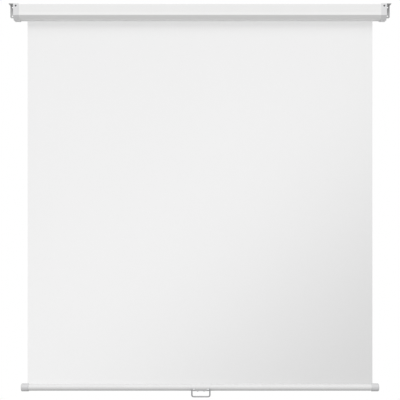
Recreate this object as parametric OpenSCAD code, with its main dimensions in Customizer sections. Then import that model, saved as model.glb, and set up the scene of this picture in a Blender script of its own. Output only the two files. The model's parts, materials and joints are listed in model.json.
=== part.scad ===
// Pull-down projection screen on a spring roller, for a wall or a ceiling.
// X runs along the roller, +Y points into the wall and +Z up. The origin is the centre of
// the four wall-fixing holes, on the wall. The sheet is drawn fully down.

/* [Sheet] */
// Width of the screen sheet
sheet_w = 1600; // [900:10:1800]
// Drop from the roller's axis to the centre of the bottom bar
sheet_drop = 1736; // [900:2:2100]
// Thickness of the sheet
sheet_t = 0.3; // [0.2:0.05:0.45]
// Turns of sheet left on the roller
turns_left = 1.8; // [1.2:0.1:2.8]

/* [Case] */
// Distance from the wall to the back of the case
wall_gap = 10; // [9:0.5:20]
// Depth of the case from back to front
case_depth = 58; // [57:0.5:66]
// Height of the case's top above the roller's axis
case_above = 34; // [33.5:0.5:42]
// Depth of the case's underside below the roller's axis
case_below = 35.8; // [33:0.1:44]
// Thickness of the case's steel
case_wall = 1.2; // [0.8:0.1:1.6]
// How far the slanted lower front runs back
slant_in = 14; // [8:0.5:18]
// How far the slanted lower front rises
slant_up = 17.2; // [10:0.1:20]
// Depth of the step in the front below the roller's axis
band_top = 9.2; // [4:0.1:12]
// How far the band below the step stands proud
band_proud = 0.8; // [0.4:0.1:1.2]
// From the sheet forward to the edge of the slot
slot_front = 3.5; // [3:0.5:14]
// From the sheet back to the edge of the slot
slot_rear = 5.2; // [3:0.1:5.5]
// Height of the folded edges of the slot
hem_up = 6; // [4:0.5:8]
// From the sheet's edge to the outer face of an end cap
side_margin = 57.5; // [54:0.5:80]

/* [End caps] */
// Width of an end cap outside the case
cap_w = 26; // [25:0.5:34]
// Wall of an end cap
cap_wall = 2.4; // [2:0.1:2.8]
// How far an end cap stands proud of the case
cap_proud = 1.2; // [0.9:0.1:2]
// How much lower than the case an end cap reaches
cap_drop = 3.5; // [2:0.1:6]
// Length of the spigot inside the case
spigot_len = 18; // [15:0.5:24]
// Wall of the spigot
spigot_wall = 2; // [1.5:0.1:2.5]
// Radius of the roller seat's boss
seat_r = 11; // [10:0.5:14]
// Depth of the roller seat
seat_depth = 10; // [8:0.5:11]

/* [Roller] */
// Diameter of the roller tube
tube_d = 35; // [34:0.5:37]
// Wall of the roller tube
tube_wall = 1.2; // [0.8:0.1:1.5]
// Width inside the sheet's groove
groove_w = 5; // [4:0.1:6]
// Height inside the sheet's groove
groove_tall = 2.8; // [2.6:0.1:3]
// Thickness of the groove's lips
groove_lip = 1; // [0.8:0.1:1.3]
// Opening between the groove's lips
groove_mouth = 2.4; // [1.6:0.1:2.5]
// Diameter of the spline that holds the sheet in the groove
spline_d = 2.55; // [2.5:0.01:2.58]
// Length of a plug inside the tube
plug_len = 25; // [18:1:34]

/* [Spring lock] */
// Diameter of the spade pin and of the gudgeon pin
spindle_d = 8; // [7:0.1:9]
// Thickness of the spade pin's flat end
blade_t = 3; // [2.5:0.1:4]
// Height of the spade pin's flat end
blade_h = 10; // [8:0.5:12]
// Diameter of the ratchet wheel
ratchet_d = 22; // [21:0.1:22.6]
// Thickness of the ratchet wheel
ratchet_t = 6; // [5:0.1:7]
// Radius of the chamber that holds the pawls
chamber_r = 19.9; // [19.7:0.1:20.1]
// Wall of the chamber
chamber_wall = 2.1; // [1.6:0.1:2.3]
// Distance from the roller's axis to a pawl's pivot
pawl_orbit = 16.6; // [16.4:0.1:16.8]
// Length of a pawl from its pivot to its tip
pawl_len = 13; // [12.6:0.1:13.2]
// Thickness of a pawl
pawl_t = 4.4; // [3.5:0.1:4.6]
// Width of a pawl's tip
pawl_tip = 3.8; // [3.2:0.1:3.9]
// Diameter of a pawl's pivot end
pawl_eye = 5.8; // [5.2:0.1:5.8]
// Angle that a pawl swings through to reach its notch
pawl_swing = 38; // [36:0.5:39]
// Diameter of a pawl's pin
pawl_pin_d = 3; // [2.5:0.1:3.3]

/* [Spring] */
// Mean diameter of the torsion spring
coil_d = 21.6; // [20.4:0.1:21.8]
// Diameter of the spring's wire
wire_d = 2.6; // [2:0.1:2.7]
// Number of curls
coil_turns = 40; // [20:1:60]
// Distance from one curl to the next
coil_pitch = 7.5; // [5:0.1:9]
// Diameter of the spring rod
rod_d = 10; // [9.6:0.1:12]
// Diameter of the cross pins
cross_pin_d = 3; // [2:0.1:3.5]

/* [Bottom bar] */
// Diameter of the bottom bar
bar_d = 31; // [27:0.5:32]
// Wall of the bottom bar
bar_wall = 1.3; // [1:0.1:1.8]
// Diameter of the channel for the sheet's hem
channel_d = 8.6; // [8:0.1:10]
// Width of the bar's slot
bar_slot = 1.6; // [1.2:0.1:2.4]
// Diameter of the rod in the sheet's hem
hem_rod_d = 6; // [5:0.1:6.2]
// Diameter of a bar cap
bar_cap_d = 36.4; // [35.5:0.1:38.5]
// Length of a bar cap
bar_cap_len = 34.5; // [24:0.5:42]
// How far a bar cap reaches in over the sheet's edge
bar_cap_over = 5.5; // [2:0.5:8]

/* [Pull handle] */
// Width between the centres of the handle's legs
handle_w = 83.1; // [70:0.1:120]
// Depth of the handle's grip below the centre of the bar
handle_reach = 39.2; // [38:0.1:60]
// Diameter of the handle's wire
handle_wire = 6; // [4:0.1:6.6]
// How far the handle stands to the right of the middle
handle_offset = 4; // [-40:1:40]
// Bend radius of the handle's lower corners
handle_corner = 8; // [5:0.5:14]
// Angle of the knuckles below the front of the bar
knuckle_angle = 18; // [5:1:30]
// Width of a knuckle
knuckle_w = 9.4; // [7:0.1:14]
// Thickness of the handle's plate
plate_t = 1.5; // [1:0.1:2]

/* [Brackets] */
// How far a bracket reaches outside its end cap
bracket_reach = 26.5; // [24:0.5:40]
// How far a bracket reaches inside the end cap's outer face
bracket_behind = 21; // [19:0.5:26]
// Thickness of a bracket's steel
bracket_t = 2.5; // [2:0.1:3]
// Depth of a bracket's ceiling leaf
ceiling_leaf = 44; // [38:1:60]
// Gap between an end cap and the ceiling leaf
ceiling_gap = 3.3; // [2:0.1:8]
// Distance between the wall holes, up and down
wall_hole_pitch = 40; // [36:1:50]
// Distance between the ceiling holes, front to back
ceiling_hole_pitch = 22; // [16:1:30]
// Diameter of the fixing holes
hole_d = 6.5; // [5:0.1:7]
// From the fixing holes to a bracket's outer edge
hole_edge = 10.5; // [8:0.5:12]
// Drop from the middle of the wall holes to the roller's axis
axis_below = 10; // [6:0.5:14]
// Diameter of a locking screw's shank
lock_screw_d = 5; // [4:0.1:5.4]
// From the top of the case down to a locking screw
lock_below_top = 9.5; // [9:0.1:10.5]
// From an end cap's outer face to its locking screw
lock_in = 12.1; // [10.5:0.1:13]

/* [Hidden] */
$fn = 96;

// Clearances
slip = 0.3;          // between parts that slide together or swing past each other
seat_gap = 0.2;      // between a part and the seat it hangs or lies on
run_gap = 0.06;      // radial, between a pin and the bore it turns in
fit_gap = 0.05;      // radial, between parts fixed to each other
wind_gap = 0.03;     // between turns of the sheet
eps = 0.01;

// The roller's axis and the sheet's plane
half_len = sheet_w / 2 + side_margin;
axis_y = -(wall_gap + case_depth / 2);
axis_z = -axis_below;
tube_r = tube_d / 2;
wind_pitch = sheet_t + wind_gap;
sheet_r = tube_r + fit_gap + turns_left * wind_pitch;
sheet_y = axis_y + sheet_r + sheet_t / 2;
bar_z = axis_z - sheet_drop;
sheet_start = 3.5;   // how far below the axis the hanging sheet begins
groove_at = 360 * turns_left;

// The case's outline round the roller's axis
half_d = case_depth / 2;
case_half = half_len - cap_w;
front_low = case_below - slant_up;
slot_y0 = sheet_r + sheet_t / 2 - slot_front;
slot_y1 = sheet_r + sheet_t / 2 + slot_rear;
corner_r = 3;
case_bend = 2.2;
fold_bend = 1.1;
case_points = [
    [half_d, -case_below], [half_d, case_above], [-half_d, case_above],
    [-half_d, -front_low], [-half_d + slant_in, -case_below]
];
cap_low = case_below + cap_drop;
cap_high = case_above + cap_proud;
cap_half_d = half_d + cap_proud;
cap_points = [
    [cap_half_d, -cap_low], [cap_half_d, cap_high], [-cap_half_d, cap_high],
    [-cap_half_d, -front_low], [-half_d + slant_in, -cap_low]
];
spigot_out = case_wall + slip;
spigot_in = spigot_out + spigot_wall;

// The row of parts inward from an end cap's outer face
spindle_r = spindle_d / 2;
seat_end = cap_wall + seat_depth;
shoulder_at = seat_end + slip;
shoulder_t = 1.5;
wheel_at = shoulder_at + shoulder_t + seat_gap;
washer_at = wheel_at + ratchet_t + seat_gap / 2;
washer_t = 1;
web_at = washer_at + washer_t + slip;
web_t = 2.5;
tube_at = web_at + web_t;
tube_half = half_len - tube_at;
pawl_at = wheel_at + (ratchet_t - pawl_t) / 2;
land_at = pawl_at + pawl_t + seat_gap;
pin_head_t = 1;
pin_head_at = pawl_at - seat_gap - pin_head_t;
pin_end = tube_at - 0.8;
mandrel_len = 24;
mandrel_end = tube_at + plug_len + mandrel_len;
rod_at = mandrel_end + 2;
spindle_end = rod_at + 20;
coil_at = tube_at + plug_len + 1.5 + wire_d / 2;
coil_len = coil_turns * coil_pitch;
collar_end = coil_at + coil_len + wire_d / 2 + seat_gap;
collar_len = 16;
collar_rim_t = 3;
bearing_at = collar_end + collar_rim_t + slip;
bearing_len = 12;
rod_end = bearing_at + bearing_len + 2;
cross_pin_at = [(rod_at + spindle_end) / 2, collar_end - collar_len / 2];

// Right end of the roller
bush_r = spindle_r + 3.5;
bush_flange_t = 1.2;
idle_hub_at = seat_end + bush_flange_t + slip;
gudgeon_at = cap_wall + 1;

// Lock geometry, round the roller's axis
neck_flat = 0.75 * spindle_r;
rim_r = chamber_r + chamber_wall;
pivot_lean = 28;
pawl_pivot = pawl_orbit * [sin(pivot_lean), cos(pivot_lean)];
pawl_rest = 172;
pawl_locked = pawl_rest + pawl_swing;

// Plugs that fit the tube and its groove
plug_r = tube_r - tube_wall - fit_gap;
groove_wall = 1;
groove_in = groove_lip + groove_tall + groove_wall;
keyway_w = groove_w + 2 * groove_wall + 2 * slip;
fin_t = 2;
fins = 6;

// Spring
coil_r = coil_d / 2;
coil_rings = 8;
wire_sides = 6;
coil_in = coil_r * cos(180 / coil_rings) - wire_d / 2;
mandrel_r = coil_in - fit_gap;
collar_r = coil_in - slip;

// Bottom bar
bar_r = bar_d / 2;
bar_cap_r = bar_cap_d / 2;
bar_cap_end = 4;
bar_cap_at = sheet_w / 2 - bar_cap_over;
bar_half = bar_cap_at + bar_cap_len - bar_cap_end - seat_gap;
channel_r = channel_d / 2;
channel_z = bar_r - bar_wall - channel_r;
hem_rod_r = hem_rod_d / 2;
hem_r = hem_rod_r + slip;

// Handle
wire_r = handle_wire / 2;
plate_in = bar_r + fit_gap;
plate_out = plate_in + plate_t;
knuckle_r = wire_r + run_gap + plate_t;
knuckle_at = 180 + knuckle_angle;
knuckle_pos = (plate_in + knuckle_r) * [cos(knuckle_at), sin(knuckle_at)];
foot_bend = wire_r + 1.5;
knuckle_x = handle_w / 2 - foot_bend - knuckle_w / 2;
plate_back = 310;
plate_screw_x = 15;

// Brackets
bracket_out = half_len + bracket_reach;
bracket_w = bracket_reach + bracket_behind;
hole_x = bracket_out - hole_edge;
leaf_low = wall_hole_pitch / 2 + 10;
leaf_top = axis_z + cap_high + ceiling_gap + bracket_t;
leaf_bend = bracket_t / 2 + 1.2;
ceiling_hole_y = 12;
lock_z = case_above - lock_below_top;
hook_top = lock_z + lock_screw_d / 2 + fit_gap + 0.5 + bracket_t;
hook_w = 11.6;
hook_forward = 12.5;
lip_low = lock_z - lock_screw_d / 2 - 2.2;
lip_front = -hook_forward - bracket_t;
web_corner = 32;
fix_screw_d = 3.8;
fix_head_r = 3.6;
fix_head_t = 2;
spigot_screw_in = 9;
top_screw_y = 14;
back_screw_z = 6;
boss_r = 3.6;

// Travel of the bar over whole turns of the roller, so that the pawls meet the notches
full_turns = 13;
travel = 2 * PI * ((sheet_r + sheet_t / 2) * full_turns + wind_pitch * pow(full_turns, 2) / 2);
echo(travel = travel, turns = full_turns);

function unit(v) = v / norm(v);
function left(v) = [-v[1], v[0]];
function turned(v, a) = [v[0] * cos(a) - v[1] * sin(a), v[0] * sin(a) + v[1] * cos(a)];
function polar(r, a) = r * [cos(a), sin(a)];

// A convex outline, listed anticlockwise, moved inwards by t
function inset(pts, t) = let (n = len(pts)) [
    for (i = [0 : n - 1])
        let (
            p = pts[i],
            n1 = left(unit(p - pts[(i + n - 1) % n])),
            n2 = left(unit(pts[(i + 1) % n] - p))
        )
        p + t * (n1 + n2) / (1 + n1 * n2)
];

// A convex outline, listed anticlockwise, with its corners rounded to radius r
function rounded(pts, r, steps = 5) = let (n = len(pts)) [
    for (i = [0 : n - 1])
        let (
            p = pts[i],
            n1 = left(unit(p - pts[(i + n - 1) % n])),
            n2 = left(unit(pts[(i + 1) % n] - p)),
            centre = p + r * (n1 + n2) / (1 + n1 * n2),
            turn = acos(n1 * n2)
        )
        for (k = [0 : steps]) centre - r * turned(n1, turn * k / steps)
];

// The bend at b of a sheet that runs from a to c, as pairs of a point and its normal
function bend(a, b, c, r, steps = 5) =
    let (
        d1 = unit(b - a),
        d2 = unit(c - b),
        side = sign(left(d1) * d2),
        turn = acos(d1 * d2),
        start = b - d1 * r * tan(turn / 2),
        centre = start + side * r * left(d1)
    )
    [for (k = [0 : steps])
        let (normal = turned(left(d1), side * turn * k / steps))
        [centre - side * r * normal, normal]];

// Outline of a bent sheet of thickness t from its middle line, whose points are [y, z, radius]
function bent_sheet(path, t) =
    let (
        n = len(path),
        p = [for (q = path) [q[0], q[1]]],
        line = concat(
            [[p[0], left(unit(p[1] - p[0]))]],
            [for (i = [1 : n - 2]) each bend(p[i - 1], p[i], p[i + 1], path[i][2])],
            [[p[n - 1], left(unit(p[n - 1] - p[n - 2]))]]
        )
    )
    concat(
        [for (q = line) q[0] + q[1] * t / 2],
        [for (i = [len(line) - 1 : -1 : 0]) line[i][0] - line[i][1] * t / 2]
    );

// Centre of ring i of the spring, and the ring's corners round it
function coil_centre(i) =
    let (a = 360 * i / coil_rings) [coil_pitch * i / coil_rings, coil_r * cos(a), coil_r * sin(a)];
function coil_ring(i) =
    let (
        a = 360 * i / coil_rings,
        out = [0, cos(a), sin(a)],
        ahead = unit([coil_pitch / (2 * PI), -coil_r * sin(a), coil_r * cos(a)]),
        up = cross(ahead, out)
    )
    [for (k = [0 : wire_sides - 1])
        let (b = 360 * k / wire_sides)
        coil_centre(i) + wire_d / 2 * (cos(b) * out + sin(b) * up)];

// Least gap between one curl and the next, over every pair of rings from half a curl to a
// curl and a half apart
coil_gap = min([
    for (i = [0 : coil_rings - 1])
        for (k = [coil_rings / 2 : 3 * coil_rings / 2])
            norm(coil_centre(i + k) - coil_centre(i)) - wire_d
]);
echo(coil_gap = coil_gap);

// Places children on the roller's axis, or on the bottom bar's centre line
module on_axis() {
    translate([0, axis_y, axis_z]) children();
}

module on_bar() {
    translate([0, sheet_y, bar_z]) children();
}

// Draws the left end's parts at the right end
module at_right() {
    mirror([1, 0, 0]) children();
}

// Extrudes a (y, z) outline along X
module along_x(x0, length) {
    translate([x0, 0, 0]) rotate([90, 0, 90]) linear_extrude(length) children();
}

// The same, placed inwards from the left end cap's outer face
module from_end(at, length) {
    along_x(at - half_len, length) children();
}

module ring(r_out, r_in) {
    difference() {
        circle(r_out);
        circle(r_in);
    }
}

module rod_y(place, length, r) {
    translate(place) rotate([-90, 0, 0]) cylinder(h = length, r = r);
}

module rod_z(place, length, r) {
    translate(place) cylinder(h = length, r = r);
}

// A wedge of the (y, z) plane from one angle to another
module wedge(a0, a1, r) {
    steps = 6;
    polygon(concat([[0, 0]], [for (k = [0 : steps]) polar(r, a0 + (a1 - a0) * k / steps)]));
}

// A pan-head screw that points down from its seat at the origin
module pan_screw(length, shank_r, head_r, head_t) {
    translate([0, 0, -length]) cylinder(h = length + eps, r = shank_r);
    rotate_extrude() polygon([
        [0, 0], [head_r, 0], [head_r, 0.4 * head_t], [0.78 * head_r, head_t], [0, head_t]
    ]);
}

module case_outline(t) {
    polygon(rounded(inset(case_points, t), max(corner_r - t, 0.6)));
}

module cap_outline(t) {
    polygon(rounded(inset(cap_points, t), max(corner_r - t, 0.6)));
}

// Case: one strip of steel, folded up at both edges of the slot
module case_section() {
    h = case_wall / 2;
    polygon(bent_sheet([
        [slot_y0 - h, hem_up - case_below],
        [slot_y0 - h, h - case_below, fold_bend],
        [slant_in - half_d, h - case_below, case_bend],
        [h - half_d - band_proud, -front_low, case_bend],
        [h - half_d - band_proud, -band_top - band_proud, fold_bend],
        [h - half_d, -band_top, fold_bend],
        [h - half_d, case_above - h, case_bend],
        [half_d - h, case_above - h, case_bend],
        [half_d - h, h - case_below, case_bend],
        [slot_y1 + h, h - case_below, fold_bend],
        [slot_y1 + h, hem_up - case_below]
    ], case_wall));
}

// Places children at the three screws of the left end, pointing along each screw
module at_case_screws() {
    x = spigot_screw_in - case_half;
    for (y = [-top_screw_y, top_screw_y])
        translate([x, y, case_above]) children();
    translate([x, half_d, back_screw_z]) rotate([-90, 0, 0]) children();
}

module case_shell() {
    color([0.94, 0.94, 0.94]) on_axis() difference() {
        along_x(-case_half, 2 * case_half) case_section();
        for (side = [0, 1])
            mirror([side, 0, 0]) at_case_screws()
                translate([0, 0, -case_wall - 1])
                    cylinder(h = case_wall + 2, r = fix_screw_d / 2 + fit_gap);
    }
}

module case_screws() {
    color([0.72, 0.73, 0.75]) on_axis()
        for (side = [0, 1])
            mirror([side, 0, 0]) at_case_screws()
                pan_screw(8, fix_screw_d / 2, fix_head_r, fix_head_t);
}

// End cap without its roller seat, as a left one: a hollow moulding with a spigot that
// plugs the case, ribs behind the seat, a window for the bracket's hook and bosses
module cap_body() {
    difference() {
        union() {
            from_end(0, cap_wall) cap_outline(0);
            from_end(0, cap_w) difference() {
                cap_outline(0);
                cap_outline(cap_wall);
            }
            from_end(cap_w - cap_wall, cap_wall) difference() {
                cap_outline(0);
                case_outline(spigot_in);
            }
            from_end(cap_w - cap_wall, cap_wall + spigot_len) difference() {
                case_outline(spigot_out);
                case_outline(spigot_in);
            }
            cap_ribs();
            cap_bosses();
        }
        cap_openings();
    }
}

module cap_ribs() {
    rib_t = 2;
    rib_tall = 6.5;
    // ribs from the seat to the rim, below and to both sides
    from_end(cap_wall - eps, rib_tall) difference() {
        intersection() {
            cap_outline(cap_wall / 2);
            for (a = [0, 180, 235, 270, 305])
                rotate(a) translate([0, -rib_t / 2]) square([2 * case_depth, rib_t]);
        }
        circle(seat_r - 1);
    }
    // two ribs that hang on the bracket's hook
    rib_low = hook_top + seat_gap;
    for (y = [-5, 9])
        from_end(cap_wall - eps, lock_in + hook_w / 2 - cap_wall)
            translate([y, rib_low]) square([rib_t, cap_high - cap_wall / 2 - rib_low]);
}

module cap_bosses() {
    // for the locking screw
    rod_y([lock_in - half_len, cap_wall / 2 - cap_half_d, lock_z], cap_wall / 2 + 6, 4.6 + 1.4);
    // for the case screws
    at_case_screws() translate([0, 0, -spigot_in - 3]) cylinder(h = spigot_wall / 2 + 3, r = boss_r);
}

module cap_openings() {
    // locking screw with its counterbore
    rod_y([lock_in - half_len, -cap_half_d - 1, lock_z], 12, lock_screw_d / 2 + 0.1);
    rod_y([lock_in - half_len, -cap_half_d - 1, lock_z], 5, 4.4);
    // case screws
    at_case_screws() translate([0, 0, -20]) cylinder(h = 21, r = fix_screw_d / 2 + fit_gap);
    // window for the hook
    window_low = lip_low - 1;
    from_end(lock_in - hook_w / 2 - 1, hook_w + 2)
        translate([half_d - spigot_in, window_low])
            square([spigot_in + cap_proud + 1, cap_high - cap_wall - window_low]);
    // room for the folded edges of the case's slot
    notch_y = slot_y0 - case_wall - 2 * slip;
    from_end(cap_w, spigot_len + 1)
        translate([notch_y, -case_below])
            square([half_d - spigot_in - notch_y, hem_up + 1]);
}

module end_cap_left() {
    color([0.87, 0.87, 0.88]) on_axis() difference() {
        union() {
            cap_body();
            from_end(cap_wall - eps, seat_depth + eps) circle(seat_r);
        }
        // slot that the spade pin drops into
        from_end(cap_wall, seat_depth + 1)
            translate([-blade_t / 2 - fit_gap, -blade_h / 2 - fit_gap])
                square([blade_t + 2 * fit_gap, seat_r + blade_h]);
    }
}

module end_cap_right() {
    color([0.87, 0.87, 0.88]) on_axis() at_right() difference() {
        union() {
            cap_body();
            from_end(cap_wall - eps, seat_depth + eps) circle(seat_r);
        }
        from_end(cap_wall, seat_depth + 1) circle(bush_r + fit_gap);
    }
}

// Wall and ceiling bracket, as a left one: two leaves, a web between them and a hook that
// reaches through the end cap's window and takes the locking screw
module wall_bracket() {
    h = bracket_t / 2;
    difference() {
        union() {
            along_x(-bracket_out, bracket_w) polygon(bent_sheet([
                [-h, -leaf_low],
                [-h, leaf_top - h, leaf_bend],
                [-ceiling_leaf, leaf_top - h]
            ], bracket_t));
            along_x(-half_len - 4 - bracket_t, bracket_t) polygon([
                [-h, leaf_top - h], [-h - web_corner, leaf_top - h],
                [-h - web_corner, leaf_top - h - 4], [-h - 4, leaf_top - h - web_corner],
                [-h, leaf_top - h - web_corner]
            ]);
            along_x(lock_in - hook_w / 2 - half_len, hook_w) polygon(bent_sheet([
                [-h, axis_z + hook_top - h],
                [axis_y + lip_front + h, axis_z + hook_top - h, leaf_bend - 1.1],
                [axis_y + lip_front + h, axis_z + lip_low]
            ], bracket_t));
        }
        for (z = [-1, 1])
            rod_y([-hole_x, -bracket_t - 1, z * wall_hole_pitch / 2], bracket_t + 2, hole_d / 2);
        for (k = [0, 1])
            rod_z([-hole_x, -ceiling_hole_y - k * ceiling_hole_pitch, leaf_top - bracket_t - 1],
                  bracket_t + 2, hole_d / 2);
        rod_y([lock_in - half_len, axis_y + lip_front - 1, axis_z + lock_z],
              bracket_t + 2, lock_screw_d / 2 + fit_gap);
        bracket_corners();
    }
}

// Corners cut off the two leaves
module bracket_corners() {
    cut = 6;
    for (x = [-bracket_out, bracket_behind - half_len]) {
        translate([x, 0, -leaf_low]) rotate([0, 45, 0])
            cube([cut, 3 * bracket_t, cut], center = true);
        translate([x, -ceiling_leaf, leaf_top]) rotate([0, 0, 45])
            cube([cut, cut, 3 * bracket_t], center = true);
    }
}

module wall_bracket_left() {
    color([0.68, 0.69, 0.71]) wall_bracket();
}

module wall_bracket_right() {
    color([0.68, 0.69, 0.71]) at_right() wall_bracket();
}

module bracket_lock_screws() {
    head_t = 3.2;
    seat_y = 4 - cap_half_d;
    color([0.45, 0.46, 0.48]) on_axis()
        for (side = [0, 1])
            mirror([side, 0, 0]) translate([lock_in - half_len, seat_y, lock_z])
                rotate([-90, 0, 0]) difference() {
                    union() {
                        cylinder(h = lip_front + bracket_t + 2 - seat_y, r = lock_screw_d / 2);
                        translate([0, 0, -head_t]) cylinder(h = head_t, r = 4);
                    }
                    translate([0, 0, -head_t - eps]) cylinder(h = 2, r = 2.3, $fn = 6);
                }
}

// Roller tube with the groove that holds the sheet's edge
module roller_tube() {
    color([0.70, 0.72, 0.74]) on_axis() along_x(-tube_half, 2 * tube_half) difference() {
        union() {
            ring(tube_r, tube_r - tube_wall);
            intersection() {
                circle(tube_r - tube_wall / 2);
                rotate(groove_at) translate([tube_r - groove_in, -groove_w / 2 - groove_wall])
                    square([groove_in, groove_w + 2 * groove_wall]);
            }
        }
        rotate(groove_at) translate([tube_r - groove_lip - groove_tall, -groove_w / 2])
            square([groove_tall, groove_w]);
        rotate(groove_at) translate([tube_r - groove_lip - 1, -groove_mouth / 2])
            square([groove_lip + 2, groove_mouth]);
    }
}

module sheet_spline() {
    color([0.92, 0.92, 0.90]) on_axis() along_x(-sheet_w / 2, sheet_w)
        rotate(groove_at) translate([tube_r - groove_lip - groove_tall / 2 - fit_gap, 0])
            circle(spline_d / 2);
}

// The turns of sheet left on the roller, from the tangent point inwards to the groove
module wound_sheet() {
    steps = round(60 * turns_left);
    function turn_r(k) = sheet_r - turns_left * wind_pitch * k / steps;
    color([0.97, 0.97, 0.97]) on_axis() along_x(-sheet_w / 2, sheet_w) {
        polygon(concat(
            [for (k = [0 : steps]) polar(turn_r(k) + sheet_t, groove_at * k / steps)],
            [for (k = [steps : -1 : 0]) polar(turn_r(k), groove_at * k / steps)]
        ));
        // the sheet's edge in the groove's mouth
        rotate(groove_at) translate([tube_r - groove_lip, -sheet_t / 2])
            square([groove_lip + fit_gap + sheet_t / 2, sheet_t]);
    }
}

// The hanging sheet, with its lower edge looped round the hem rod
module screen_sheet() {
    hem_z = bar_z + channel_z;
    color([0.97, 0.97, 0.97]) translate([0, sheet_y, hem_z]) along_x(-sheet_w / 2, sheet_w) {
        translate([-sheet_t / 2, hem_r + sheet_t / 2])
            square([sheet_t, axis_z - sheet_start - hem_z - hem_r - sheet_t / 2]);
        ring(hem_r + sheet_t, hem_r);
    }
}

// The part of a plug inside the tube: a keyed collar at its outer end, then crossed fins,
// both on a hub
module tube_plug(at, length, hub_r) {
    collar = 3;
    from_end(at, collar) {
        circle(hub_r);
        difference() {
            circle(plug_r);
            rotate(groove_at) translate([tube_r - groove_in - slip, -keyway_w / 2])
                square([2 * groove_in, keyway_w]);
        }
    }
    from_end(at + collar, length - collar) {
        circle(hub_r);
        intersection() {
            circle(plug_r);
            for (k = [0 : fins / 2 - 1])
                rotate(groove_at + (k + 0.5) * 360 / fins)
                    square([4 * plug_r, fin_t], center = true);
        }
    }
}

// Spring head: chamber for the pawls, plug, and mandrel that grips the spring
module spring_head() {
    color([0.86, 0.86, 0.84]) on_axis() difference() {
        union() {
            from_end(wheel_at, web_at - wheel_at) ring(rim_r, chamber_r);
            from_end(web_at, web_t) circle(rim_r);
            tube_plug(tube_at, plug_len, mandrel_r);
            from_end(tube_at + plug_len, mandrel_len) circle(mandrel_r);
            for (side = [-1, 1])
                from_end(land_at, web_at - land_at)
                    translate(side * pawl_pivot) circle(pawl_eye / 2);
        }
        from_end(web_at - 1, web_t + plug_len + mandrel_len + 2) circle(spindle_r + run_gap);
        for (side = [-1, 1])
            from_end(land_at - 1, pin_end + 1.2 - land_at)
                translate(side * pawl_pivot) circle(pawl_pin_d / 2 + eps);
    }
}

// Spade pin: flat end, shoulder, flatted neck for the wheel, and round spindle
module spade_pin() {
    blade_at = cap_wall + seat_gap;
    blade_len = shoulder_at - blade_at;
    color([0.66, 0.67, 0.70]) on_axis() difference() {
        union() {
            translate([blade_at - half_len, blade_t / 2, 0]) rotate([90, 0, 0])
                linear_extrude(blade_t) polygon([
                    [0, -blade_h / 2 + 1.5], [1.5, -blade_h / 2], [blade_len + eps, -blade_h / 2],
                    [blade_len + eps, blade_h / 2], [1.5, blade_h / 2], [0, blade_h / 2 - 1.5]
                ]);
            from_end(shoulder_at, shoulder_t) circle(spindle_r + 2.5);
            from_end(shoulder_at, washer_at - shoulder_at) neck_outline(0);
            from_end(washer_at - eps, spindle_end - washer_at) circle(spindle_r);
        }
        rod_z([cross_pin_at[0] - half_len, 0, -spindle_d], 2 * spindle_d, cross_pin_d / 2 + eps);
    }
}

module neck_outline(gap) {
    intersection() {
        circle(spindle_r + gap);
        square([2 * (neck_flat + gap), 4 * spindle_r], center = true);
    }
}

// A pawl about its pivot, with its tip along +Y
module pawl_outline() {
    difference() {
        union() {
            circle(pawl_eye / 2);
            polygon([
                [0, -pawl_eye / 2], [pawl_len - 1, -pawl_tip / 2], [pawl_len, 0.8 - pawl_tip / 2],
                [pawl_len, pawl_tip / 2], [0, pawl_eye / 2]
            ]);
        }
        circle(pawl_pin_d / 2 + run_gap);
    }
}

// Room for a locked pawl: its outline with a gap all round, open towards the rim
module notch_outline() {
    translate(pawl_pivot) rotate(pawl_locked) polygon([
        [0, pawl_eye / 2 + slip], [pawl_len - 1, pawl_tip / 2 + slip],
        [pawl_len + slip, pawl_tip / 2 + slip], [pawl_len + slip, -2 * pawl_eye],
        [0, -2 * pawl_eye]
    ]);
}

module ratchet_wheel() {
    color([0.62, 0.58, 0.48]) on_axis() from_end(wheel_at, ratchet_t) difference() {
        circle(ratchet_d / 2);
        notch_outline();
        rotate(180) notch_outline();
        neck_outline(fit_gap);
    }
}

module upper_pawl() {
    color([0.60, 0.61, 0.63]) on_axis() from_end(pawl_at, pawl_t)
        translate(pawl_pivot) rotate(pawl_rest) pawl_outline();
}

module lower_pawl() {
    color([0.60, 0.61, 0.63]) on_axis() from_end(pawl_at, pawl_t)
        rotate(180) translate(pawl_pivot) rotate(pawl_rest) pawl_outline();
}

module pawl_pins() {
    color([0.75, 0.76, 0.78]) on_axis() for (side = [-1, 1]) {
        from_end(pin_head_at, pin_end - pin_head_at)
            translate(side * pawl_pivot) circle(pawl_pin_d / 2);
        from_end(pin_head_at, pin_head_t) translate(side * pawl_pivot) circle(pawl_eye / 2 - 0.5);
    }
}

module thrust_washer() {
    color([0.90, 0.89, 0.84]) on_axis()
        from_end(washer_at, washer_t) ring(spindle_r + 3, spindle_r + run_gap);
}

module torsion_spring() {
    rings = coil_turns * coil_rings;
    s = wire_sides;
    color([0.55, 0.56, 0.58]) on_axis() translate([coil_at - half_len, 0, 0]) polyhedron(
        points = [for (i = [0 : rings]) each coil_ring(i)],
        faces = concat(
            [[for (k = [s - 1 : -1 : 0]) k]],
            [for (i = [0 : rings - 1]) for (k = [0 : s - 1])
                let (a = i * s + k, b = i * s + (k + 1) % s)
                each [[a, b, b + s], [a, b + s, a + s]]],
            [[for (k = [0 : s - 1]) rings * s + k]]
        )
    );
}

// Spring rod: a tube pinned to the spade pin at one end and to the collar at the other
module spring_rod() {
    color([0.68, 0.69, 0.71]) on_axis() difference() {
        from_end(rod_at, rod_end - rod_at) ring(rod_d / 2, spindle_r + fit_gap);
        for (x = cross_pin_at)
            rod_z([x - half_len, 0, -rod_d], 2 * rod_d, cross_pin_d / 2 + eps);
    }
}

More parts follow.
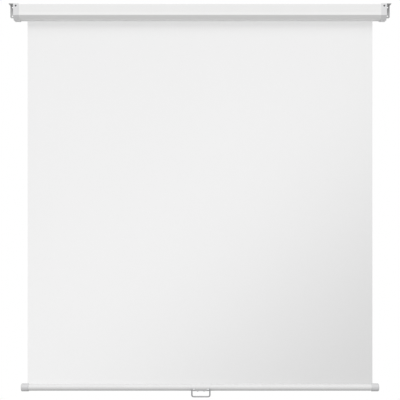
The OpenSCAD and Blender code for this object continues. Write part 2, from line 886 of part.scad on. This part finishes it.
module cross_pins() {
    long = [rod_d / 2 - seat_gap, collar_r - seat_gap];
    color([0.75, 0.76, 0.78]) on_axis() for (i = [0, 1])
        rod_z([cross_pin_at[i] - half_len, 0, -long[i]], 2 * long[i], cross_pin_d / 2);
}

module spring_collar() {
    color([0.62, 0.58, 0.48]) on_axis() difference() {
        union() {
            from_end(collar_end - collar_len, collar_len + eps) circle(collar_r);
            from_end(collar_end, collar_rim_t) circle(coil_r + wire_d / 2);
        }
        from_end(collar_end - collar_len - 1, collar_len + collar_rim_t + 2)
            circle(rod_d / 2 + fit_gap);
        rod_z([cross_pin_at[1] - half_len, 0, -rod_d], 2 * rod_d, cross_pin_d / 2 + eps);
    }
}

module rod_bearing() {
    color([0.90, 0.89, 0.84]) on_axis() difference() {
        tube_plug(bearing_at, bearing_len, rod_d / 2 + 2.5);
        from_end(bearing_at - 1, bearing_len + 2) circle(rod_d / 2 + run_gap);
    }
}

module idle_plug() {
    color([0.86, 0.86, 0.84]) on_axis() at_right() difference() {
        union() {
            from_end(idle_hub_at, tube_at - 2 - idle_hub_at) circle(spindle_r + 4.5);
            from_end(tube_at - 2, 2) circle(tube_r);
            tube_plug(tube_at, plug_len, spindle_r + 4.5);
        }
        from_end(idle_hub_at - 1, plug_len + tube_at) circle(spindle_r + eps);
    }
}

module gudgeon_pin() {
    long = tube_at + plug_len - 3 - gudgeon_at;
    color([0.66, 0.67, 0.70]) on_axis() at_right() translate([gudgeon_at - half_len, 0, 0])
        rotate([0, 90, 0]) rotate_extrude()
            polygon([[0, 0], [spindle_r - 1, 0], [spindle_r, 1], [spindle_r, long], [0, long]]);
}

module idle_bush() {
    color([0.90, 0.89, 0.84]) on_axis() at_right() difference() {
        union() {
            from_end(cap_wall + seat_gap, seat_depth - seat_gap + eps) circle(bush_r);
            from_end(seat_end, bush_flange_t) circle(bush_r + 2);
        }
        from_end(cap_wall, seat_depth + bush_flange_t + 1) circle(spindle_r + run_gap);
    }
}

// Bottom bar: a tube with a channel under its slot for the sheet's hem
module bottom_bar() {
    color([0.92, 0.92, 0.91]) on_bar() difference() {
        along_x(-bar_half, 2 * bar_half) difference() {
            union() {
                ring(bar_r, bar_r - bar_wall);
                intersection() {
                    circle(bar_r - bar_wall / 2);
                    translate([0, channel_z]) circle(channel_r + bar_wall);
                }
            }
            translate([0, channel_z]) circle(channel_r);
            translate([-bar_slot / 2, channel_z]) square([bar_slot, bar_r]);
        }
        at_plate_screws() translate([0, 0, -2 * plate_t]) cylinder(h = 12, r = 2);
    }
}

module hem_rod() {
    color([0.80, 0.80, 0.78]) on_bar() along_x(-sheet_w / 2, sheet_w)
        translate([0, channel_z]) circle(hem_rod_r);
}

// Bar cap, as a right one: a cup with a rounded end over the end of the bar, slit on top
// where the edge of the sheet goes in
module bar_cap() {
    edge = 5;
    color([0.80, 0.80, 0.82]) on_bar() difference() {
        translate([bar_cap_at, 0, 0]) rotate([0, 90, 0]) rotate_extrude() polygon(concat(
            [[bar_r + fit_gap, 0], [bar_cap_r - 1, 0], [bar_cap_r, 1]],
            [for (k = [0 : 6])
                [bar_cap_r - edge, bar_cap_len - edge] + polar(edge, 15 * k)],
            [
                [bar_cap_r - edge - 3, bar_cap_len], [bar_cap_r - edge - 3.6, bar_cap_len - 0.6],
                [0, bar_cap_len - 0.6], [0, bar_cap_len - bar_cap_end + seat_gap],
                [bar_r + fit_gap, bar_cap_len - bar_cap_end + seat_gap]
            ]
        ));
        translate([bar_cap_at - 1, -bar_slot / 2, bar_r - 1])
            cube([bar_cap_over + 1.5, bar_slot, bar_cap_r]);
    }
}

module bar_cap_right() {
    bar_cap();
}

module bar_cap_left() {
    at_right() bar_cap();
}

module at_plate_screws() {
    for (side = [-1, 1])
        translate([handle_offset + side * plate_screw_x, 0, -plate_out]) children();
}

// Handle plate: a strip bent round the underside of the bar, curled into a knuckle at
// each front corner
module handle_plate() {
    reach = knuckle_x + knuckle_w / 2;
    color([0.70, 0.71, 0.72]) on_bar() difference() {
        union() {
            along_x(handle_offset - reach, 2 * reach) intersection() {
                ring(plate_out, plate_in);
                wedge(knuckle_at + 28, plate_back, 2 * bar_r);
            }
            for (side = [-1, 1])
                along_x(handle_offset + side * knuckle_x - knuckle_w / 2, knuckle_w) {
                    intersection() {
                        ring(plate_out, plate_in);
                        wedge(knuckle_at, knuckle_at + 30, 2 * bar_r);
                    }
                    translate(knuckle_pos) circle(knuckle_r);
                }
        }
        along_x(handle_offset - handle_w / 2, handle_w)
            translate(knuckle_pos) circle(wire_r + run_gap);
        at_plate_screws() translate([0, 0, -1]) cylinder(h = 2 * plate_t + 2, r = 2);
    }
}

module plate_screws() {
    color([0.72, 0.73, 0.75]) on_bar()
        at_plate_screws() mirror([0, 0, 1]) pan_screw(8, 1.9, 3.8, 1.8);
}

// Quarter bend of the handle's wire in the X-Z plane, about its centre
module wire_bend(centre, r, from) {
    translate([centre[0], 0, centre[1]]) rotate([90, 0, 0]) rotate([0, 0, from])
        rotate_extrude(angle = 90) translate([r, 0]) circle(wire_r);
}

// Pull handle: one wire, its feet turned inwards into the knuckles
module pull_handle() {
    foot_x = handle_w / 2 - foot_bend;
    grip_z = -handle_reach - knuckle_pos[1];
    corner_x = handle_w / 2 - handle_corner;
    color([0.62, 0.62, 0.63]) on_bar()
        translate([handle_offset, knuckle_pos[0], knuckle_pos[1]]) {
            for (side = [0, 1]) mirror([side, 0, 0]) {
                translate([foot_x - knuckle_w, 0, 0]) rotate([0, 90, 0])
                    cylinder(h = knuckle_w, r = wire_r);
                wire_bend([foot_x, -foot_bend], foot_bend, 0);
                rod_z([handle_w / 2, 0, grip_z + handle_corner],
                      -foot_bend - grip_z - handle_corner, wire_r);
                wire_bend([corner_x, grip_z + handle_corner], handle_corner, -90);
            }
            translate([-corner_x, 0, grip_z]) rotate([0, 90, 0])
                cylinder(h = 2 * corner_x, r = wire_r);
        }
}

case_shell();
end_cap_left();
end_cap_right();
case_screws();
wall_bracket_left();
wall_bracket_right();
bracket_lock_screws();
roller_tube();
sheet_spline();
wound_sheet();
screen_sheet();
spring_head();
spade_pin();
ratchet_wheel();
upper_pawl();
lower_pawl();
pawl_pins();
thrust_washer();
torsion_spring();
spring_rod();
cross_pins();
spring_collar();
rod_bearing();
idle_plug();
gudgeon_pin();
idle_bush();
bottom_bar();
hem_rod();
bar_cap_left();
bar_cap_right();
handle_plate();
plate_screws();
pull_handle();
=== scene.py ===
import json
import math
import bpy
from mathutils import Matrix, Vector

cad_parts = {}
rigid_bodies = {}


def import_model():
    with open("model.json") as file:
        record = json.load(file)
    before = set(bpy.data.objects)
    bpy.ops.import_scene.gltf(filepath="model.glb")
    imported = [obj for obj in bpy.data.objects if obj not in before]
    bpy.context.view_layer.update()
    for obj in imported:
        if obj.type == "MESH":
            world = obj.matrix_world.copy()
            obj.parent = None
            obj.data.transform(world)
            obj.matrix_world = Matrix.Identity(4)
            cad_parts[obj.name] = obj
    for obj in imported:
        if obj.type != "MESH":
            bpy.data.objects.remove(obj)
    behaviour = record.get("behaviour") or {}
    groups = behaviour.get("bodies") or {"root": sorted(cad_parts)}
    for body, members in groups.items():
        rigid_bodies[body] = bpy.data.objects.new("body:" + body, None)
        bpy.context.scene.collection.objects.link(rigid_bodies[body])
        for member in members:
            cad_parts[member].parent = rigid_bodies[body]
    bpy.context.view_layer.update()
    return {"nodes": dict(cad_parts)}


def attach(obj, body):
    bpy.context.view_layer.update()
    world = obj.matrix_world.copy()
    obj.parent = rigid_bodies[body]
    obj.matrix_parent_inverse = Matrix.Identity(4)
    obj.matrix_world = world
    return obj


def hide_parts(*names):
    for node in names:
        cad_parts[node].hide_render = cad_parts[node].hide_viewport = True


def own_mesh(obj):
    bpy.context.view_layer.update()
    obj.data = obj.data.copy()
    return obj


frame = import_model()
print("model loaded with", len(frame["nodes"]), "parts")

# Metres, in the model's frame: X along the roller, Y into the wall, Z up from the wall holes.
axisY, axisZ = -0.039, -0.010      # the roller's axis
sheetY = -0.020706                 # plane of the hanging sheet
barZ = -1.746                      # centre of the bottom bar
barTravel = 1.6695                 # how far the bar rises

cameraUser = {
    "distance": 4.100,             # from the sheet
    "height": -0.8769,
    "seenWidth": 1.856,            # of the sheet's plane
    "sensorWidth": 36,             # mm
}


def addCamera(user):               # level, and square to the sheet
    data = bpy.data.cameras.new("camera")
    data.sensor_width = user["sensorWidth"]
    data.lens = user["sensorWidth"] * user["distance"] / user["seenWidth"]
    camera = bpy.data.objects.new("camera", data)
    bpy.context.scene.collection.objects.link(camera)
    camera.location = (0, sheetY - user["distance"], user["height"])
    camera.rotation_euler = (math.radians(90), 0, 0)
    bpy.context.scene.camera = camera


addCamera(cameraUser)
print("camera placed")


class Signal:                      # a node's output that takes part in Python sums
    def __init__(self, graph, socket):
        self.graph, self.socket = graph, socket

    def maths(self, operation, *values):
        return self.graph.add("Math", {"operation": operation}, dict(enumerate(values)))

    def __add__(self, other):
        return self.maths("ADD", self, other)

    def __radd__(self, other):
        return self.maths("ADD", other, self)

    def __sub__(self, other):
        return self.maths("SUBTRACT", self, other)

    def __rsub__(self, other):
        return self.maths("SUBTRACT", other, self)

    def __mul__(self, other):
        return self.maths("MULTIPLY", self, other)

    def __rmul__(self, other):
        return self.maths("MULTIPLY", other, self)

    def either(self, other):
        return self.maths("MAXIMUM", self, other)

    def sine(self):
        return self.maths("SINE", self)

    def over(self, low, high):     # 0 below low, 1 above high, smooth between
        return self.graph.add("MapRange", {"interpolation_type": "SMOOTHSTEP"},
                              {"Value": self, "From Min": low, "From Max": high})

    def beside(self, name):        # another output of the same node
        return Signal(self.graph, self.socket.node.outputs[name])


class Graph:                       # a node tree, and the way to add to it
    def __init__(self, tree):
        self.tree = tree

    def add(self, kind, settings=None, sockets=None, out=0):
        node = self.tree.nodes.new("ShaderNode" + kind)
        for key, value in (settings or {}).items():
            setattr(node, key, value)
        for key, value in (sockets or {}).items():
            self.plug(node.inputs[key], value)
        return Signal(self, node.outputs[out])

    def plug(self, socket, value):
        if isinstance(value, Signal):
            self.tree.links.new(value.socket, socket)
        else:
            socket.default_value = value


class Finish(Graph):               # one material
    def __init__(self, name, **fixed):
        self.material = bpy.data.materials.new(name)
        self.material.use_nodes = True
        super().__init__(self.material.node_tree)
        self.shader = self.tree.nodes["Principled BSDF"]
        self.place = self.add("TexCoord", out="Object")
        for socket, value in fixed.items():
            self.set(socket, value)

    def set(self, socket, value):
        self.plug(self.shader.inputs[socket], value)

    def noise(self, perMetre, detail=2, along=(1, 1, 1)):
        place = self.add("Mapping", None, {"Vector": self.place, "Scale": along})
        return self.add("TexNoise", None, {"Vector": place, "Scale": perMetre, "Detail": detail})

    def cells(self, perMetre):
        return self.add("TexVoronoi", None, {"Vector": self.place, "Scale": perMetre})

    def mixed(self, mask, first, second):    # 0, 6 and 7 are a Mix node's colour sockets
        return self.add("Mix", {"data_type": "RGBA"}, {0: mask, 6: first, 7: second}, out=2)

    def relief(self, height, depth, strength):
        self.set("Normal", self.add("Bump", None, {
            "Height": height, "Distance": depth, "Strength": strength}))


def shade(level, tint=(1, 1, 1)):  # a colour with its alpha
    return (*(level * share for share in tint), 1)


# Finishes: marks are counted per metre, and depths are in metres. A Shade multiplies the base
# colour, a Show is how strongly a mark shows, and a Rough is what it adds to the roughness.
paintUser = {
    "clouds": 9, "cloudShade": 0.975, "cloudRough": 0.10,
    "dust": 260, "dustFrom": 0.62, "dustFull": 0.72,
    "dustShow": 0.10, "dustShade": 0.86, "dustRough": 0.12,
    "dustFill": 0.6,               # how far dust fills the orange peel
    "peelStrength": 0.5,
}


def powderCoat(name, own):
    user = {**paintUser, **own}
    level, tint = user["level"], user["tint"]
    coat = Finish(name, IOR=1.5)
    peel = coat.noise(user["peel"], 3)
    cloud = coat.noise(user["clouds"])
    dust = coat.noise(user["dust"], 4).over(user["dustFrom"], user["dustFull"])
    base = coat.mixed(cloud, shade(level, tint), shade(level * user["cloudShade"], tint))
    dusty = shade(level * user["dustShade"])
    coat.set("Base Color", coat.mixed(dust * user["dustShow"], base, dusty))
    coat.set("Roughness", user["roughness"] + user["cloudRough"] * cloud
             + user["dustRough"] * dust)
    coat.relief(peel * (1 - user["dustFill"] * dust), user["peelDepth"], user["peelStrength"])
    return coat.material


plasticUser = {
    "clouds": 35, "cloudShade": 0.96,
    "flow": 7, "flowAlong": (6, 1, 1), "flowFrom": 0.55, "flowFull": 0.75,
    "flowShow": 0.25, "flowShade": 0.93,
    "grainRough": 0.12, "grainStrength": 0.35,
}


def mouldedPlastic(name, own):
    user = {**plasticUser, **own}
    level, tint = user["level"], user["tint"]
    shell = Finish(name, IOR=1.46)
    grain = shell.cells(user["grain"])
    cloud = shell.noise(user["clouds"], 3)
    flow = shell.noise(user["flow"], 2, user["flowAlong"])
    flow = flow.over(user["flowFrom"], user["flowFull"])
    base = shell.mixed(cloud, shade(level, tint), shade(level * user["cloudShade"], tint))
    streak = shade(level * user["flowShade"])
    shell.set("Base Color", shell.mixed(flow * user["flowShow"], base, streak))
    shell.set("Roughness", user["roughness"] + user["grainRough"] * grain)
    shell.relief(grain, user["grainDepth"], user["grainStrength"])
    return shell.material


drawnUser = {
    "along": (0.02, 1, 1),         # drawn along X
    "lineRough": 0.16, "lineStrength": 0.3,
    "stains": 60, "stainShade": 0.90,
    "scratches": 420, "scratchFrom": 0.66, "scratchFull": 0.70,
    "scratchShow": 0.30, "scratchShade": 0.72,
}


def drawnMetal(name, own):
    user = {**drawnUser, **own}
    colour = user["colour"]
    metal = Finish(name, Metallic=1)
    lines = metal.noise(user["lines"], 3, user["along"])
    stain = metal.noise(user["stains"], 3)
    scratch = metal.noise(user["scratches"], 2, user["along"])
    scratch = scratch.over(user["scratchFrom"], user["scratchFull"])
    base = metal.mixed(stain, shade(1, colour), shade(user["stainShade"], colour))
    scratched = shade(user["scratchShade"], colour)
    metal.set("Base Color", metal.mixed(scratch * user["scratchShow"], base, scratched))
    metal.set("Roughness", user["roughness"] + user["lineRough"] * lines)
    metal.relief(lines, user["lineDepth"], user["lineStrength"])
    return metal.material


zincUser = {
    "level": 0.47,
    "metallic": 0.30,
    "roughness": 0.44,
    "clouds": 45, "cloudLight": 1.08, "cloudTint": (0.985, 0.995, 1.01), "cloudDark": 0.90,
    "cloudRough": 0.14,
    "spangle": 230, "spangleShow": 0.35, "spangleShade": 0.82,
    "spangleDepth": 0.00004, "spangleStrength": 0.25,
    "scratches": 300, "scratchAlong": (1, 1, 0.04), "scratchFrom": 0.68, "scratchFull": 0.72,
    "scratchShow": 0.25, "scratchShade": 1.35,
}


def dullZinc(name, user):          # passivated sheet steel, cloudy and a little scratched
    level = user["level"]
    zinc = Finish(name, Metallic=user["metallic"], IOR=1.6)
    cloud = zinc.noise(user["clouds"], 4)
    spangle = zinc.cells(user["spangle"])
    scratch = zinc.noise(user["scratches"], 2, user["scratchAlong"])
    scratch = scratch.over(user["scratchFrom"], user["scratchFull"])
    base = zinc.mixed(cloud, shade(level * user["cloudLight"], user["cloudTint"]),
                      shade(level * user["cloudDark"]))
    base = zinc.mixed(spangle * user["spangleShow"], base, shade(level * user["spangleShade"]))
    scratched = shade(level * user["scratchShade"])
    zinc.set("Base Color", zinc.mixed(scratch * user["scratchShow"], base, scratched))
    zinc.set("Roughness", user["roughness"] + user["cloudRough"] * cloud)
    zinc.relief(spangle, user["spangleDepth"], user["spangleStrength"])
    return zinc.material


platedUser = {
    "metallic": 1,
    "grain": 900, "grainRough": 0.18,
    "stains": 140, "stainShade": 0.82,
    "rubs": 380, "rubFrom": 0.60, "rubFull": 0.70,    # where the plating is rubbed smooth
    "rubShow": 0.30, "rubShade": 1.25, "rubSmooth": 0.10,
    "pits": 1500, "pitDepth": 0.00002, "pitStrength": 0.4,
}


def platedMetal(name, own):
    user = {**platedUser, **own}
    colour = user["colour"]
    metal = Finish(name, Metallic=user["metallic"])
    grain = metal.cells(user["grain"])
    stain = metal.noise(user["stains"], 3)
    rub = metal.noise(user["rubs"], 3).over(user["rubFrom"], user["rubFull"])
    base = metal.mixed(stain, shade(1, colour), shade(user["stainShade"], colour))
    rubbed = shade(user["rubShade"], colour)
    metal.set("Base Color", metal.mixed(rub * user["rubShow"], base, rubbed))
    metal.set("Roughness", user["roughness"] + user["grainRough"] * grain
              - user["rubSmooth"] * rub)
    metal.relief(metal.noise(user["pits"]), user["pitDepth"], user["pitStrength"])
    return metal.material


clothUser = {
    "level": 0.905,
    "roughness": 0.86,
    "threadPitch": 0.0009,
    "threadDepth": 0.00007, "threadStrength": 0.5,
    "weaveHeight": 0.5, "slubHeight": 0.25,
    "slubs": 500, "slubAlong": (1, 1, 0.06), "slubFrom": 0.60, "slubFull": 0.72,
    "slubShow": 0.20, "slubShade": 0.955,
    "clouds": 2.2, "cloudShade": 0.988, "cloudRough": 0.06,
}


def coatedCloth(name, user):
    level = user["level"]
    cloth = Finish(name, IOR=1.45)
    place = cloth.add("SeparateXYZ", None, {0: cloth.place})
    turns = 2 * math.pi / user["threadPitch"]
    weave = (place.beside("X") * turns).sine() * (place.beside("Z") * turns).sine()
    slub = cloth.noise(user["slubs"], 2, user["slubAlong"])
    slub = slub.over(user["slubFrom"], user["slubFull"])
    cloud = cloth.noise(user["clouds"], 3)
    base = cloth.mixed(cloud, shade(level), shade(level * user["cloudShade"]))
    thick = shade(level * user["slubShade"])
    cloth.set("Base Color", cloth.mixed(slub * user["slubShow"], base, thick))
    cloth.set("Roughness", user["roughness"] + user["cloudRough"] * cloud)
    cloth.relief(weave * user["weaveHeight"] + user["slubHeight"] * slub,
                 user["threadDepth"], user["threadStrength"])
    return cloth.material


finishes = {
    "casePaint": powderCoat("white powder coat", {
        "level": 0.86, "tint": (1, 1, 0.995), "roughness": 0.42,
        "peel": 520, "peelDepth": 0.00005}),
    "bracketZinc": dullZinc("dull zinc bracket", zincUser),
    "capPlastic": mouldedPlastic("grey case plastic", {
        "level": 0.755, "tint": (1, 1, 1.01), "roughness": 0.46,
        "grain": 1100, "grainDepth": 0.00006}),
    "barCapPlastic": mouldedPlastic("grey bar plastic", {
        "level": 0.585, "tint": (1, 1, 1.01), "roughness": 0.42,
        "grain": 1100, "grainDepth": 0.00006}),
    "plugPlastic": mouldedPlastic("glass-filled plastic", {
        "level": 0.58, "tint": (1, 1, 0.96), "roughness": 0.52,
        "grain": 800, "grainDepth": 0.00009}),
    "slidePlastic": mouldedPlastic("natural acetal", {
        "level": 0.80, "tint": (1, 0.99, 0.93), "roughness": 0.34,
        "grain": 1500, "grainDepth": 0.00003}),
    "cordPlastic": mouldedPlastic("plastic cord", {
        "level": 0.78, "tint": (1, 1, 0.97), "roughness": 0.38,
        "grain": 600, "grainDepth": 0.00004}),
    "rollerMetal": drawnMetal("extruded roller", {
        "colour": (0.62, 0.63, 0.65), "roughness": 0.30,
        "lines": 900, "lineDepth": 0.00003}),
    "barPaint": powderCoat("white bar lacquer", {
        "level": 0.68, "tint": (1, 1, 1), "roughness": 0.50,
        "peel": 640, "peelDepth": 0.00004}),
    "pinSteel": drawnMetal("drawn pin steel", {
        "colour": (0.48, 0.49, 0.51), "roughness": 0.28,
        "lines": 1200, "lineDepth": 0.00002}),
    "handleSteel": platedMetal("satin nickel wire", {
        "colour": (0.34, 0.34, 0.35), "roughness": 0.44, "metallic": 0.6}),
    "plateSteel": platedMetal("dull zinc strip", {
        "colour": (0.60, 0.60, 0.61), "roughness": 0.48, "metallic": 0.5, "grain": 700}),
    "screwZinc": platedMetal("bright zinc screw", {
        "colour": (0.60, 0.61, 0.63), "roughness": 0.28}),
    "screwGrey": platedMetal("grey phosphate screw", {
        "colour": (0.17, 0.17, 0.18), "roughness": 0.46, "metallic": 0.5, "grain": 1200}),
    "yellowZinc": platedMetal("yellow zinc", {
        "colour": (0.56, 0.47, 0.24), "roughness": 0.30, "grain": 1400}),
    "springSteel": platedMetal("oiled spring wire", {
        "colour": (0.20, 0.21, 0.22), "roughness": 0.34, "grain": 1600}),
    "cloth": coatedCloth("coated white cloth", clothUser),
}
print("finishes made:", len(finishes))

finishOf = {
    "case_shell": "casePaint", "end_cap_left": "capPlastic", "end_cap_right": "capPlastic",
    "case_screws": "screwZinc", "wall_bracket_left": "bracketZinc",
    "wall_bracket_right": "bracketZinc", "bracket_lock_screws": "screwGrey",
    "roller_tube": "rollerMetal", "sheet_spline": "cordPlastic", "wound_sheet": "cloth",
    "screen_sheet": "cloth", "spring_head": "plugPlastic", "spade_pin": "pinSteel",
    "ratchet_wheel": "yellowZinc", "upper_pawl": "pinSteel", "lower_pawl": "pinSteel",
    "pawl_pins": "screwZinc", "thrust_washer": "slidePlastic", "torsion_spring": "springSteel",
    "spring_rod": "pinSteel", "cross_pins": "screwZinc", "spring_collar": "yellowZinc",
    "rod_bearing": "slidePlastic", "idle_plug": "plugPlastic", "gudgeon_pin": "pinSteel",
    "idle_bush": "slidePlastic", "bottom_bar": "barPaint", "hem_rod": "cordPlastic",
    "bar_cap_left": "barCapPlastic", "bar_cap_right": "barCapPlastic",
    "handle_plate": "plateSteel", "plate_screws": "screwZinc", "pull_handle": "handleSteel",
}


def dressParts():
    for name, node in frame["nodes"].items():
        for holder in node.material_slots:
            holder.material = finishes[finishOf[name]]


dressParts()
print("parts dressed")

creaseAngle = math.radians(50)     # edges sharper than this are shaded as creases


def addMesh(name, points, faces, finish, body):
    mesh = bpy.data.meshes.new(name)
    mesh.from_pydata(points, [], faces)
    for face in mesh.polygons:
        face.use_smooth = True
    mesh.set_sharp_from_angle(angle=creaseAngle)
    mesh.materials.append(finishes[finish])
    piece = bpy.data.objects.new(name, mesh)
    bpy.context.scene.collection.objects.link(piece)
    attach(piece, body)
    return piece


def clothStrip(path, columns, width, thick, wave=None):
    # path: (y, z, normalY, normalZ, along), top to bottom; wave(x, along) moves the cloth out
    points, faces = [], []
    rows = len(path)
    for side in (0.5, -0.5):
        for y, z, ny, nz, along in path:
            for c in range(columns + 1):
                x = width * (c / columns - 0.5)
                out = side * thick + (wave(x, along) if wave else 0)
                points.append((x, y + ny * out, z + nz * out))
    wide = columns + 1
    skin = rows * wide             # points in one of the two skins
    for r in range(rows - 1):
        for c in range(columns):
            a = r * wide + c
            faces.append((a, a + 1, a + 1 + wide, a + wide))
            faces.append((skin + a, skin + a + wide, skin + a + 1 + wide, skin + a + 1))
    for r in range(rows - 1):      # both side edges
        a, b = r * wide, r * wide + columns
        faces.append((a, a + wide, skin + a + wide, skin + a))
        faces.append((b, skin + b, skin + b + wide, b + wide))
    for c in range(columns):       # both ends
        a, b = c, (rows - 1) * wide + c
        faces.append((a, skin + a, skin + a + 1, a + 1))
        faces.append((b, b + 1, skin + b + 1, skin + b))
    return points, faces


sheetUser = {
    "width": 1.600,
    "thick": 0.00035,
    "top": axisZ,                  # where the cloth leaves the roll
    "hemCentre": barZ + 0.0099,    # centre of the rod in the hem
    "hemRadius": 0.00345,
    "hemFrom": 96, "hemTo": 444,   # degrees round the rod, both ends against the sheet
    "hemSteps": 28,
    "hemColumns": 60,
    "rows": 120,
    "columns": 96,
    "ripple": 0.0007,              # how far the cloth stands out of its plane
    "rippleAcross": 5.1, "rippleLean": 2.2,
    "rippleDown": 3.0 * math.pi, "rippleDrift": 1.4,
    "calmEnds": 0.8,               # the higher, the further the ends stay flat
    "edgeCurl": 0.0012,
    "edgePower": 10,               # the higher, the nearer to the edge the curl stays
}


def hangingWave(x, along):
    # flat at both ends, a slight swell between, and side edges that curl back a little
    user = sheetUser
    share = along / (user["top"] - user["hemCentre"])
    free = math.sin(math.pi * min(max(share, 0), 1)) ** user["calmEnds"]
    swell = (math.sin(user["rippleAcross"] * x + user["rippleLean"] * share)
             * math.sin(user["rippleDown"] * share + user["rippleDrift"] * x))
    edge = abs(x) / (user["width"] / 2)
    return free * (user["ripple"] * swell + user["edgeCurl"] * edge ** user["edgePower"])


def addHangingSheet(user):
    low = user["hemCentre"] + user["hemRadius"]
    drop = user["top"] - low
    path = [(sheetY, user["top"] - drop * r / user["rows"], 1, 0, drop * r / user["rows"])
            for r in range(user["rows"] + 1)]
    points, faces = clothStrip(path, user["columns"], user["width"], user["thick"], hangingWave)
    sheet = addMesh("hanging_sheet", points, faces, "cloth", "case")
    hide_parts("screen_sheet")
    loop = []
    for k in range(user["hemSteps"] + 1):
        share = k / user["hemSteps"]
        a = math.radians(user["hemFrom"] + (user["hemTo"] - user["hemFrom"]) * share)
        ny, nz = math.cos(a), math.sin(a)
        loop.append((sheetY + user["hemRadius"] * ny, user["hemCentre"] + user["hemRadius"] * nz,
                     ny, nz, 0))
    points, faces = clothStrip(loop, user["hemColumns"], user["width"], user["thick"])
    hem = addMesh("sheet_hem", points, faces, "cloth", "bottom_bar")
    keep = (low + barTravel - user["top"]) / (low - user["top"])
    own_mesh(sheet)
    return drop


rollUser = {
    "turns": 1.8,
    "outer": 0.018294,             # middle of the cloth where it leaves the roll
    "pitch": 0.00033,
    "thick": 0.00028,
    "stepsPerTurn": 90,
    "columns": 24,
}


def addWoundSheet(user):
    steps = int(user["turns"] * user["stepsPerTurn"])
    path, length = [], 0
    for k in range(steps + 1):
        a = 2 * math.pi * user["turns"] * k / steps
        r = user["outer"] - user["pitch"] * user["turns"] * k / steps
        ny, nz = math.cos(a), math.sin(a)
        path.append((axisY + r * ny, axisZ + r * nz, ny, nz, length))
        length += 2 * math.pi * user["turns"] / steps * r
    points, faces = clothStrip(path, user["columns"], sheetUser["width"], user["thick"])
    roll = addMesh("wound_roll", points, faces, "cloth", "roller")
    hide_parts("wound_sheet")
    return length


rolled = addWoundSheet(rollUser)
hung = addHangingSheet(sheetUser)
print("sheet made: %.3f m hangs and %.3f m is on the roller" % (hung, rolled))

springUser = {
    "start": -0.8054,              # middle of the first curl, along X
    "curls": 40,
    "pitch": 0.0075,
    "meanRadius": 0.0108,
    "wireRadius": 0.0013,
    "stepsPerCurl": 28,
    "wireSides": 12,
}


def addSpring(user):
    steps, sides = user["curls"] * user["stepsPerCurl"], user["wireSides"]
    points, faces = [], []
    for i in range(steps + 1):
        a = 2 * math.pi * i / user["stepsPerCurl"]
        centre = Vector((user["start"] + user["pitch"] * i / user["stepsPerCurl"],
                         axisY + user["meanRadius"] * math.cos(a),
                         axisZ + user["meanRadius"] * math.sin(a)))
        out = Vector((0, math.cos(a), math.sin(a)))
        ahead = Vector((user["pitch"] / (2 * math.pi), -user["meanRadius"] * math.sin(a),
                        user["meanRadius"] * math.cos(a))).normalized()
        up = ahead.cross(out)
        for k in range(sides):
            b = 2 * math.pi * k / sides
            points.append(centre + user["wireRadius"] * (math.cos(b) * out + math.sin(b) * up))
    for i in range(steps):
        for k in range(sides):
            a, b = i * sides + k, i * sides + (k + 1) % sides
            faces.append((a, b, b + sides, a + sides))
    faces.append(tuple(range(sides - 1, -1, -1)))     # the wire's two cut ends
    faces.append(tuple(steps * sides + k for k in range(sides)))
    spring = addMesh("spring_coil", points, faces, "springSteel", "roller")
    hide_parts("torsion_spring")


addSpring(springUser)
print("spring wound")

sunUser = {"from": (-0.4, -2.0, 2.15), "to": (0, 0, 0), "angle": math.radians(34)}

studioUser = {
    "ambient": 0.51,
    "backdrop": 1,                 # white where the camera or a reflection looks past it all
    "lamps": {                     # the cloth has a key lamp and a sun, all else has one sun
        "sheetKey": {"reach": "cloth", "type": "SPOT", "from": (0, -8.0, -0.9),
                     "to": (-7.99, 0, 7.74), "energy": 682, "spot_size": math.radians(128.5),
                     "spot_blend": 0.178, "shadow_soft_size": 0.6},
        "sheetSun": {"reach": "cloth", "type": "SUN", "energy": 0.77, **sunUser},
        "frameSun": {"reach": "frame", "type": "SUN", "energy": 2.0, **sunUser},
    },
}

floorUser = {
    "level": 0.58,
    "roughness": 0.9,
    "height": -2.45,
    "side": 5.0, "front": -6.0, "back": 2.6,
}


def addFloor(user):
    paint = Finish("pale floor", Roughness=user["roughness"])
    paint.set("Base Color", shade(user["level"]))
    side, front, back, z = user["side"], user["front"], user["back"], user["height"]
    mesh = bpy.data.meshes.new("floor")
    mesh.from_pydata([(-side, front, z), (side, front, z), (side, back, z), (-side, back, z)],
                     [], [(0, 1, 2, 3)])
    mesh.materials.append(paint.material)
    floor = bpy.data.objects.new("floor", mesh)
    bpy.context.scene.collection.objects.link(floor)


def makeReach():                   # the pieces that each kind of lamp lights
    groups = {name: bpy.data.collections.new(name + " light") for name in ("cloth", "frame")}
    for piece in bpy.context.scene.objects:
        if piece.type == "MESH":
            ofCloth = piece.name in ("hanging_sheet", "sheet_hem", "wound_roll")
            groups["cloth" if ofCloth else "frame"].objects.link(piece)
    return groups


def addLamps(lamps):
    groups = makeReach()
    for name, user in lamps.items():
        data = bpy.data.lights.new(name, user["type"])
        for key, value in user.items():
            if key not in ("reach", "type", "from", "to"):
                setattr(data, key, value)
        lamp = bpy.data.objects.new(name, data)
        bpy.context.scene.collection.objects.link(lamp)
        lamp.location = user["from"]
        aim = Vector(user["to"]) - Vector(user["from"])
        lamp.rotation_euler = aim.to_track_quat("-Z", "Y").to_euler()
        lamp.light_linking.receiver_collection = groups[user["reach"]]


def addWorld(user):
    world = bpy.data.worlds.new("studio")
    bpy.context.scene.world = world
    world.use_nodes = True
    sky = Graph(world.node_tree)
    ray = sky.add("LightPath", out="Is Camera Ray")
    seen = ray.either(ray.beside("Is Glossy Ray")).either(ray.beside("Is Transmission Ray"))
    light = sky.tree.nodes["Background"].inputs
    sky.plug(light["Color"], shade(1))
    sky.plug(light["Strength"], sky.add("MapRange", None, {
        "Value": seen, "To Min": user["ambient"], "To Max": user["backdrop"]}))


addFloor(floorUser)
addLamps(studioUser["lamps"])
addWorld(studioUser)
bpy.context.scene.view_settings.view_transform = "Standard"
print("studio lit")
